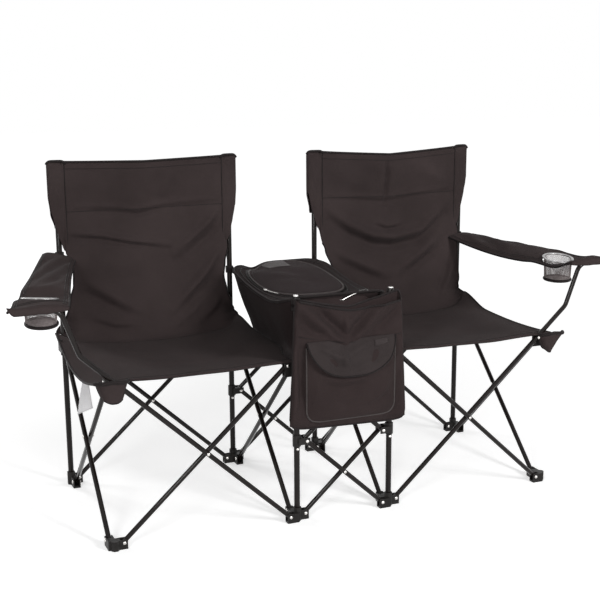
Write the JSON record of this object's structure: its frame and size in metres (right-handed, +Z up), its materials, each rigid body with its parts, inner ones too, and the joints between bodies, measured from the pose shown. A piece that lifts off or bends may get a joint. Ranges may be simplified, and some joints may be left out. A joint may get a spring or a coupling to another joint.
{
  "type": "folding camping loveseat",
  "caption": "Folding camping loveseat: sling seats on a scissor frame, arms with mesh cup holders, a soft cooler with a zipped lid and a hanging organiser between the seats.",
  "frame": {"origin": "on the ground, under the middle of the open chair", "axes": "+X along the width, to the right of the picture, +Y from front to rear, +Z up"},
  "size_m": [1.7128, 0.604, 0.935],
  "materials": {
    "tube": "gloss enamel, near black",
    "moulding": "black moulded plastic",
    "seat_cloth": "woven polyester, warm near black",
    "bag_cloth": "woven polyester with piping"
  },
  "bodies": {
    "rear_column_left_outer": {"rear_post_left_outer": "tube", "rear_foot_left_outer": "moulding", "back_left": "seat_cloth"},
    "front_column_left_outer": {"front_foot_left_outer": "moulding"},
    "rear_column_left_inner": {"rear_post_left_inner": "tube", "rear_foot_left_inner": "moulding"},
    "front_column_left_inner": {"front_post_left_inner": "tube", "front_foot_left_inner": "moulding", "organiser": "bag_cloth"},
    "rear_column_right_inner": {"rear_post_right_inner": "tube", "rear_foot_right_inner": "moulding"},
    "front_column_right_inner": {"front_post_right_inner": "tube", "front_foot_right_inner": "moulding"},
    "rear_column_right_outer": {"rear_post_right_outer": "tube", "rear_foot_right_outer": "moulding", "back_right": "seat_cloth"},
    "front_column_right_outer": {"front_foot_right_outer": "moulding"},
    "front_hub_left_outer": {"front_hub_left_outer": "moulding"},
    "front_hub_left_inner": {"front_hub_left_inner": "moulding"},
    "front_hub_right_inner": {"front_hub_right_inner": "moulding"},
    "front_hub_right_outer": {"front_hub_right_outer": "moulding"},
    "front_collar_left_inner": {"front_collar_left_inner": "moulding"},
    "front_collar_right_inner": {"front_collar_right_inner": "moulding"},
    "front_left_bar_rising": {"front_left_bar_rising": "tube"},
    "front_left_bar_falling": {"front_left_bar_falling": "tube"},
    "front_right_bar_rising": {"front_right_bar_rising": "tube"},
    "front_right_bar_falling": {"front_right_bar_falling": "tube"},
    "front_centre_lower_rising": {"front_centre_lower_rising": "tube"},
    "front_centre_lower_falling": {"front_centre_lower_falling": "tube"},
    "front_centre_upper_rising": {"front_centre_upper_rising": "tube"},
    "front_centre_upper_falling": {"front_centre_upper_falling": "tube"},
    "rear_hub_left_outer": {"rear_hub_left_outer": "moulding"},
    "rear_hub_left_inner": {"rear_hub_left_inner": "moulding"},
    "rear_hub_right_inner": {"rear_hub_right_inner": "moulding"},
    "rear_hub_right_outer": {"rear_hub_right_outer": "moulding"},
    "rear_collar_left_inner": {"rear_collar_left_inner": "moulding"},
    "rear_collar_right_inner": {"rear_collar_right_inner": "moulding"},
    "rear_left_bar_rising": {"rear_left_bar_rising": "tube"},
    "rear_left_bar_falling": {"rear_left_bar_falling": "tube"},
    "rear_right_bar_rising": {"rear_right_bar_rising": "tube"},
    "rear_right_bar_falling": {"rear_right_bar_falling": "tube"},
    "rear_centre_lower_rising": {"rear_centre_lower_rising": "tube"},
    "rear_centre_lower_falling": {"rear_centre_lower_falling": "tube"},
    "rear_centre_upper_rising": {"rear_centre_upper_rising": "tube"},
    "rear_centre_upper_falling": {"rear_centre_upper_falling": "tube"},
    "side_bar_to_rear_left_outer": {"side_bar_to_rear_left_outer": "tube"},
    "side_bar_to_front_left_outer": {"side_bar_to_front_left_outer": "tube"},
    "side_bar_to_rear_left_inner": {"side_bar_to_rear_left_inner": "tube"},
    "side_bar_to_front_left_inner": {"side_bar_to_front_left_inner": "tube"},
    "side_bar_to_rear_right_inner": {"side_bar_to_rear_right_inner": "tube"},
    "side_bar_to_front_right_inner": {"side_bar_to_front_right_inner": "tube"},
    "side_bar_to_rear_right_outer": {"side_bar_to_rear_right_outer": "tube"},
    "side_bar_to_front_right_outer": {"side_bar_to_front_right_outer": "tube"},
    "seat_left": {"seat_left": "seat_cloth"},
    "seat_right": {"seat_right": "seat_cloth"},
    "arm_left": {"arm_left": "seat_cloth"},
    "arm_right": {"arm_right": "seat_cloth"},
    "cooler_bag": {"cooler_bag": "bag_cloth"},
    "cooler_lid": {"cooler_lid": "bag_cloth"},
    "pocket_flap": {"pocket_flap": "bag_cloth"}
  },
  "joints": [
    {"name": "fold", "type": "hinge", "parent": "rear_column_left_inner", "child": "rear_left_bar_falling", "pos_m": [-0.161, 0.27775, 0.017], "axis": [0, 1, 0], "range_deg": [0, 37], "deforming": ["back_left", "back_right", "seat_left", "seat_right", "arm_left", "arm_right", "cooler_bag", "cooler_lid", "organiser", "pocket_flap"]},
    {"name": "rear_left_crossing", "type": "hinge", "parent": "rear_left_bar_falling", "child": "rear_left_bar_rising", "pos_m": [-0.387, 0.28475, 0.226], "axis": [0, 1, 0], "range_deg": [-74, 0]},
    {"name": "rear_left_outer_column", "type": "hinge", "parent": "rear_left_bar_rising", "child": "rear_column_left_outer", "pos_m": [-0.613, 0.29175, 0.017], "axis": [0, 1, 0], "range_deg": [0, 37]},
    {"name": "rear_left_inner_hub", "type": "hinge", "parent": "rear_left_bar_rising", "child": "rear_hub_left_inner", "pos_m": [-0.161, 0.29175, 0.435], "axis": [0, 1, 0], "range_deg": [0, 37]},
    {"name": "rear_left_outer_hub", "type": "hinge", "parent": "rear_left_bar_falling", "child": "rear_hub_left_outer", "pos_m": [-0.613, 0.27775, 0.435], "axis": [0, 1, 0], "range_deg": [-37, 0]},
    {"name": "rear_centre_lower_pivot", "type": "hinge", "parent": "rear_column_left_inner", "child": "rear_centre_lower_rising", "pos_m": [-0.113, 0.29175, 0.017], "axis": [0, 1, 0], "range_deg": [-37, 0]},
    {"name": "rear_centre_crossing", "type": "hinge", "parent": "rear_centre_lower_rising", "child": "rear_centre_lower_falling", "pos_m": [0, 0.28475, 0.1215], "axis": [0, 1, 0], "range_deg": [0, 74]},
    {"name": "rear_right_inner_column", "type": "hinge", "parent": "rear_centre_lower_falling", "child": "rear_column_right_inner", "pos_m": [0.113, 0.27775, 0.017], "axis": [0, 1, 0], "range_deg": [-37, 0]},
    {"name": "rear_left_collar", "type": "hinge", "parent": "rear_centre_lower_falling", "child": "rear_collar_left_inner", "pos_m": [-0.113, 0.27775, 0.226], "axis": [0, 1, 0], "range_deg": [-37, 0]},
    {"name": "rear_right_collar", "type": "hinge", "parent": "rear_centre_lower_rising", "child": "rear_collar_right_inner", "pos_m": [0.113, 0.29175, 0.226], "axis": [0, 1, 0], "range_deg": [0, 37]},
    {"name": "rear_centre_upper_rising_pivot", "type": "hinge", "parent": "rear_collar_left_inner", "child": "rear_centre_upper_rising", "pos_m": [-0.113, 0.29175, 0.226], "axis": [0, 1, 0], "range_deg": [-37, 0]},
    {"name": "rear_centre_upper_falling_pivot", "type": "hinge", "parent": "rear_collar_right_inner", "child": "rear_centre_upper_falling", "pos_m": [0.113, 0.27775, 0.226], "axis": [0, 1, 0], "range_deg": [0, 37]},
    {"name": "rear_right_lower_pivot", "type": "hinge", "parent": "rear_column_right_inner", "child": "rear_right_bar_rising", "pos_m": [0.161, 0.29175, 0.017], "axis": [0, 1, 0], "range_deg": [-37, 0]},
    {"name": "rear_right_crossing", "type": "hinge", "parent": "rear_right_bar_rising", "child": "rear_right_bar_falling", "pos_m": [0.387, 0.28475, 0.226], "axis": [0, 1, 0], "range_deg": [0, 74]},
    {"name": "rear_right_outer_column", "type": "hinge", "parent": "rear_right_bar_falling", "child": "rear_column_right_outer", "pos_m": [0.613, 0.27775, 0.017], "axis": [0, 1, 0], "range_deg": [-37, 0]},
    {"name": "rear_right_inner_hub", "type": "hinge", "parent": "rear_right_bar_falling", "child": "rear_hub_right_inner", "pos_m": [0.161, 0.27775, 0.435], "axis": [0, 1, 0], "range_deg": [-37, 0]},
    {"name": "rear_right_outer_hub", "type": "hinge", "parent": "rear_right_bar_rising", "child": "rear_hub_right_outer", "pos_m": [0.613, 0.29175, 0.435], "axis": [0, 1, 0], "range_deg": [0, 37]},
    {"name": "side_lower_pivot_left_outer", "type": "hinge", "parent": "rear_column_left_outer", "child": "side_bar_to_front_left_outer", "pos_m": [-0.63, 0.24975, 0.017], "axis": [1, 0, 0], "range_deg": [-37, 0]},
    {"name": "side_crossing_left_outer", "type": "hinge", "parent": "side_bar_to_front_left_outer", "child": "side_bar_to_rear_left_outer", "pos_m": [-0.637, 0.02375, 0.226], "axis": [1, 0, 0], "range_deg": [0, 74]},
    {"name": "front_column_pivot_left_outer", "type": "hinge", "parent": "side_bar_to_rear_left_outer", "child": "front_column_left_outer", "pos_m": [-0.644, -0.20225, 0.017], "axis": [1, 0, 0], "range_deg": [-37, 0]},
    {"name": "front_hub_pivot_left_outer", "type": "hinge", "parent": "side_bar_to_front_left_outer", "child": "front_hub_left_outer", "pos_m": [-0.63, -0.20225, 0.435], "axis": [1, 0, 0], "range_deg": [0, 37]},
    {"name": "side_lower_pivot_left_inner", "type": "hinge", "parent": "rear_column_left_inner", "child": "side_bar_to_front_left_inner", "pos_m": [-0.13, 0.24975, 0.017], "axis": [1, 0, 0], "range_deg": [-37, 0]},
    {"name": "side_crossing_left_inner", "type": "hinge", "parent": "side_bar_to_front_left_inner", "child": "side_bar_to_rear_left_inner", "pos_m": [-0.137, 0.02375, 0.226], "axis": [1, 0, 0], "range_deg": [0, 74]},
    {"name": "front_column_pivot_left_inner", "type": "hinge", "parent": "side_bar_to_rear_left_inner", "child": "front_column_left_inner", "pos_m": [-0.144, -0.20225, 0.017], "axis": [1, 0, 0], "range_deg": [-37, 0]},
    {"name": "front_hub_pivot_left_inner", "type": "hinge", "parent": "side_bar_to_front_left_inner", "child": "front_hub_left_inner", "pos_m": [-0.13, -0.20225, 0.435], "axis": [1, 0, 0], "range_deg": [0, 37]},
    {"name": "side_lower_pivot_right_inner", "type": "hinge", "parent": "rear_column_right_inner", "child": "side_bar_to_front_right_inner", "pos_m": [0.144, 0.24975, 0.017], "axis": [1, 0, 0], "range_deg": [-37, 0]},
    {"name": "side_crossing_right_inner", "type": "hinge", "parent": "side_bar_to_front_right_inner", "child": "side_bar_to_rear_right_inner", "pos_m": [0.137, 0.02375, 0.226], "axis": [1, 0, 0], "range_deg": [0, 74]},
    {"name": "front_column_pivot_right_inner", "type": "hinge", "parent": "side_bar_to_rear_right_inner", "child": "front_column_right_inner", "pos_m": [0.13, -0.20225, 0.017], "axis": [1, 0, 0], "range_deg": [-37, 0]},
    {"name": "front_hub_pivot_right_inner", "type": "hinge", "parent": "side_bar_to_front_right_inner", "child": "front_hub_right_inner", "pos_m": [0.144, -0.20225, 0.435], "axis": [1, 0, 0], "range_deg": [0, 37]},
    {"name": "side_lower_pivot_right_outer", "type": "hinge", "parent": "rear_column_right_outer", "child": "side_bar_to_front_right_outer", "pos_m": [0.644, 0.24975, 0.017], "axis": [1, 0, 0], "range_deg": [-37, 0]},
    {"name": "side_crossing_right_outer", "type": "hinge", "parent": "side_bar_to_front_right_outer", "child": "side_bar_to_rear_right_outer", "pos_m": [0.637, 0.02375, 0.226], "axis": [1, 0, 0], "range_deg": [0, 74]},
    {"name": "front_column_pivot_right_outer", "type": "hinge", "parent": "side_bar_to_rear_right_outer", "child": "front_column_right_outer", "pos_m": [0.63, -0.20225, 0.017], "axis": [1, 0, 0], "range_deg": [-37, 0]},
    {"name": "front_hub_pivot_right_outer", "type": "hinge", "parent": "side_bar_to_front_right_outer", "child": "front_hub_right_outer", "pos_m": [0.644, -0.20225, 0.435], "axis": [1, 0, 0], "range_deg": [0, 37]},
    {"name": "front_left_rising_pivot", "type": "hinge", "parent": "front_column_left_outer", "child": "front_left_bar_rising", "pos_m": [-0.613, -0.23025, 0.017], "axis": [0, 1, 0], "range_deg": [-37, 0]},
    {"name": "front_left_falling_pivot", "type": "hinge", "parent": "front_column_left_inner", "child": "front_left_bar_falling", "pos_m": [-0.161, -0.24425, 0.017], "axis": [0, 1, 0], "range_deg": [0, 37]},
    {"name": "front_right_rising_pivot", "type": "hinge", "parent": "front_column_right_inner", "child": "front_right_bar_rising", "pos_m": [0.161, -0.23025, 0.017], "axis": [0, 1, 0], "range_deg": [-37, 0]},
    {"name": "front_right_falling_pivot", "type": "hinge", "parent": "front_column_right_outer", "child": "front_right_bar_falling", "pos_m": [0.613, -0.24425, 0.017], "axis": [0, 1, 0], "range_deg": [0, 37]},
    {"name": "front_centre_rising_pivot", "type": "hinge", "parent": "front_column_left_inner", "child": "front_centre_lower_rising", "pos_m": [-0.113, -0.23025, 0.017], "axis": [0, 1, 0], "range_deg": [-37, 0]},
    {"name": "front_centre_falling_pivot", "type": "hinge", "parent": "front_column_right_inner", "child": "front_centre_lower_falling", "pos_m": [0.113, -0.24425, 0.017], "axis": [0, 1, 0], "range_deg": [0, 37]},
    {"name": "front_right_collar", "type": "hinge", "parent": "front_centre_lower_rising", "child": "front_collar_right_inner", "pos_m": [0.113, -0.23025, 0.226], "axis": [0, 1, 0], "range_deg": [0, 37]},
    {"name": "front_left_collar", "type": "hinge", "parent": "front_centre_lower_falling", "child": "front_collar_left_inner", "pos_m": [-0.113, -0.24425, 0.226], "axis": [0, 1, 0], "range_deg": [-37, 0]},
    {"name": "front_centre_upper_rising_pivot", "type": "hinge", "parent": "front_collar_left_inner", "child": "front_centre_upper_rising", "pos_m": [-0.113, -0.23025, 0.226], "axis": [0, 1, 0], "range_deg": [-37, 0]},
    {"name": "front_centre_upper_falling_pivot", "type": "hinge", "parent": "front_collar_right_inner", "child": "front_centre_upper_falling", "pos_m": [0.113, -0.24425, 0.226], "axis": [0, 1, 0], "range_deg": [0, 37]},
    {"name": "seat_left_hang", "type": "hinge", "parent": "front_hub_left_outer", "child": "seat_left", "pos_m": [-0.637, -0.23525, 0.4458], "axis": [1, 0, 0], "range_deg": [-74, 0]},
    {"name": "seat_right_hang", "type": "hinge", "parent": "front_hub_right_outer", "child": "seat_right", "pos_m": [0.637, -0.23525, 0.4458], "axis": [1, 0, 0], "range_deg": [-74, 0]},
    {"name": "arm_left_swing", "type": "hinge", "parent": "rear_column_left_outer", "child": "arm_left", "pos_m": [-0.637, 0.28475, 0.669], "axis": [-0.9366, 0.2629, 0.2318], "range_deg": [0, 55.53]},
    {"name": "arm_right_swing", "type": "hinge", "parent": "rear_column_right_outer", "child": "arm_right", "pos_m": [0.637, 0.28475, 0.669], "axis": [-0.9368, -0.2707, -0.2215], "range_deg": [0, 57.75]},
    {"name": "cooler_hang", "type": "hinge", "parent": "rear_column_left_inner", "child": "cooler_bag", "pos_m": [0, 0.25975, 0.597], "axis": [1, 0, 0], "range_deg": [0, 74]},
    {"name": "cooler_lid_hinge", "type": "hinge", "parent": "cooler_bag", "child": "cooler_lid", "pos_m": [0, 0.25975, 0.5973], "axis": [-1, 0, 0], "range_deg": [0, 105]},
    {"name": "pocket_flap_hinge", "type": "hinge", "parent": "front_column_left_inner", "child": "pocket_flap", "pos_m": [0, -0.27755, 0.50175], "axis": [-1, 0, 0], "range_deg": [0, 120]}
  ],
  "couplings": [
    {"joint": "rear_left_crossing", "follows": "fold", "ratio": -2},
    {"joint": "rear_left_outer_column", "follows": "fold", "ratio": 1},
    {"joint": "rear_left_inner_hub", "follows": "fold", "ratio": 1},
    {"joint": "rear_left_outer_hub", "follows": "fold", "ratio": -1},
    {"joint": "rear_centre_lower_pivot", "follows": "fold", "ratio": -1},
    {"joint": "rear_centre_crossing", "follows": "fold", "ratio": 2},
    {"joint": "rear_right_inner_column", "follows": "fold", "ratio": -1},
    {"joint": "rear_left_collar", "follows": "fold", "ratio": -1},
    {"joint": "rear_right_collar", "follows": "fold", "ratio": 1},
    {"joint": "rear_centre_upper_rising_pivot", "follows": "fold", "ratio": -1},
    {"joint": "rear_centre_upper_falling_pivot", "follows": "fold", "ratio": 1},
    {"joint": "rear_right_lower_pivot", "follows": "fold", "ratio": -1},
    {"joint": "rear_right_crossing", "follows": "fold", "ratio": 2},
    {"joint": "rear_right_outer_column", "follows": "fold", "ratio": -1},
    {"joint": "rear_right_inner_hub", "follows": "fold", "ratio": -1},
    {"joint": "rear_right_outer_hub", "follows": "fold", "ratio": 1},
    {"joint": "side_lower_pivot_left_outer", "follows": "fold", "ratio": -1},
    {"joint": "side_crossing_left_outer", "follows": "fold", "ratio": 2},
    {"joint": "front_column_pivot_left_outer", "follows": "fold", "ratio": -1},
    {"joint": "front_hub_pivot_left_outer", "follows": "fold", "ratio": 1},
    {"joint": "side_lower_pivot_left_inner", "follows": "fold", "ratio": -1},
    {"joint": "side_crossing_left_inner", "follows": "fold", "ratio": 2},
    {"joint": "front_column_pivot_left_inner", "follows": "fold", "ratio": -1},
    {"joint": "front_hub_pivot_left_inner", "follows": "fold", "ratio": 1},
    {"joint": "side_lower_pivot_right_inner", "follows": "fold", "ratio": -1},
    {"joint": "side_crossing_right_inner", "follows": "fold", "ratio": 2},
    {"joint": "front_column_pivot_right_inner", "follows": "fold", "ratio": -1},
    {"joint": "front_hub_pivot_right_inner", "follows": "fold", "ratio": 1},
    {"joint": "side_lower_pivot_right_outer", "follows": "fold", "ratio": -1},
    {"joint": "side_crossing_right_outer", "follows": "fold", "ratio": 2},
    {"joint": "front_column_pivot_right_outer", "follows": "fold", "ratio": -1},
    {"joint": "front_hub_pivot_right_outer", "follows": "fold", "ratio": 1},
    {"joint": "front_left_rising_pivot", "follows": "fold", "ratio": -1},
    {"joint": "front_left_falling_pivot", "follows": "fold", "ratio": 1},
    {"joint": "front_right_rising_pivot", "follows": "fold", "ratio": -1},
    {"joint": "front_right_falling_pivot", "follows": "fold", "ratio": 1},
    {"joint": "front_centre_rising_pivot", "follows": "fold", "ratio": -1},
    {"joint": "front_centre_falling_pivot", "follows": "fold", "ratio": 1},
    {"joint": "front_right_collar", "follows": "fold", "ratio": 1},
    {"joint": "front_left_collar", "follows": "fold", "ratio": -1},
    {"joint": "front_centre_upper_rising_pivot", "follows": "fold", "ratio": -1},
    {"joint": "front_centre_upper_falling_pivot", "follows": "fold", "ratio": 1},
    {"joint": "seat_left_hang", "follows": "fold", "ratio": -2},
    {"joint": "seat_right_hang", "follows": "fold", "ratio": -2},
    {"joint": "arm_left_swing", "follows": "fold", "ratio": 1.5008},
    {"joint": "arm_right_swing", "follows": "fold", "ratio": 1.5607},
    {"joint": "cooler_hang", "follows": "fold", "ratio": 2}
  ]
}
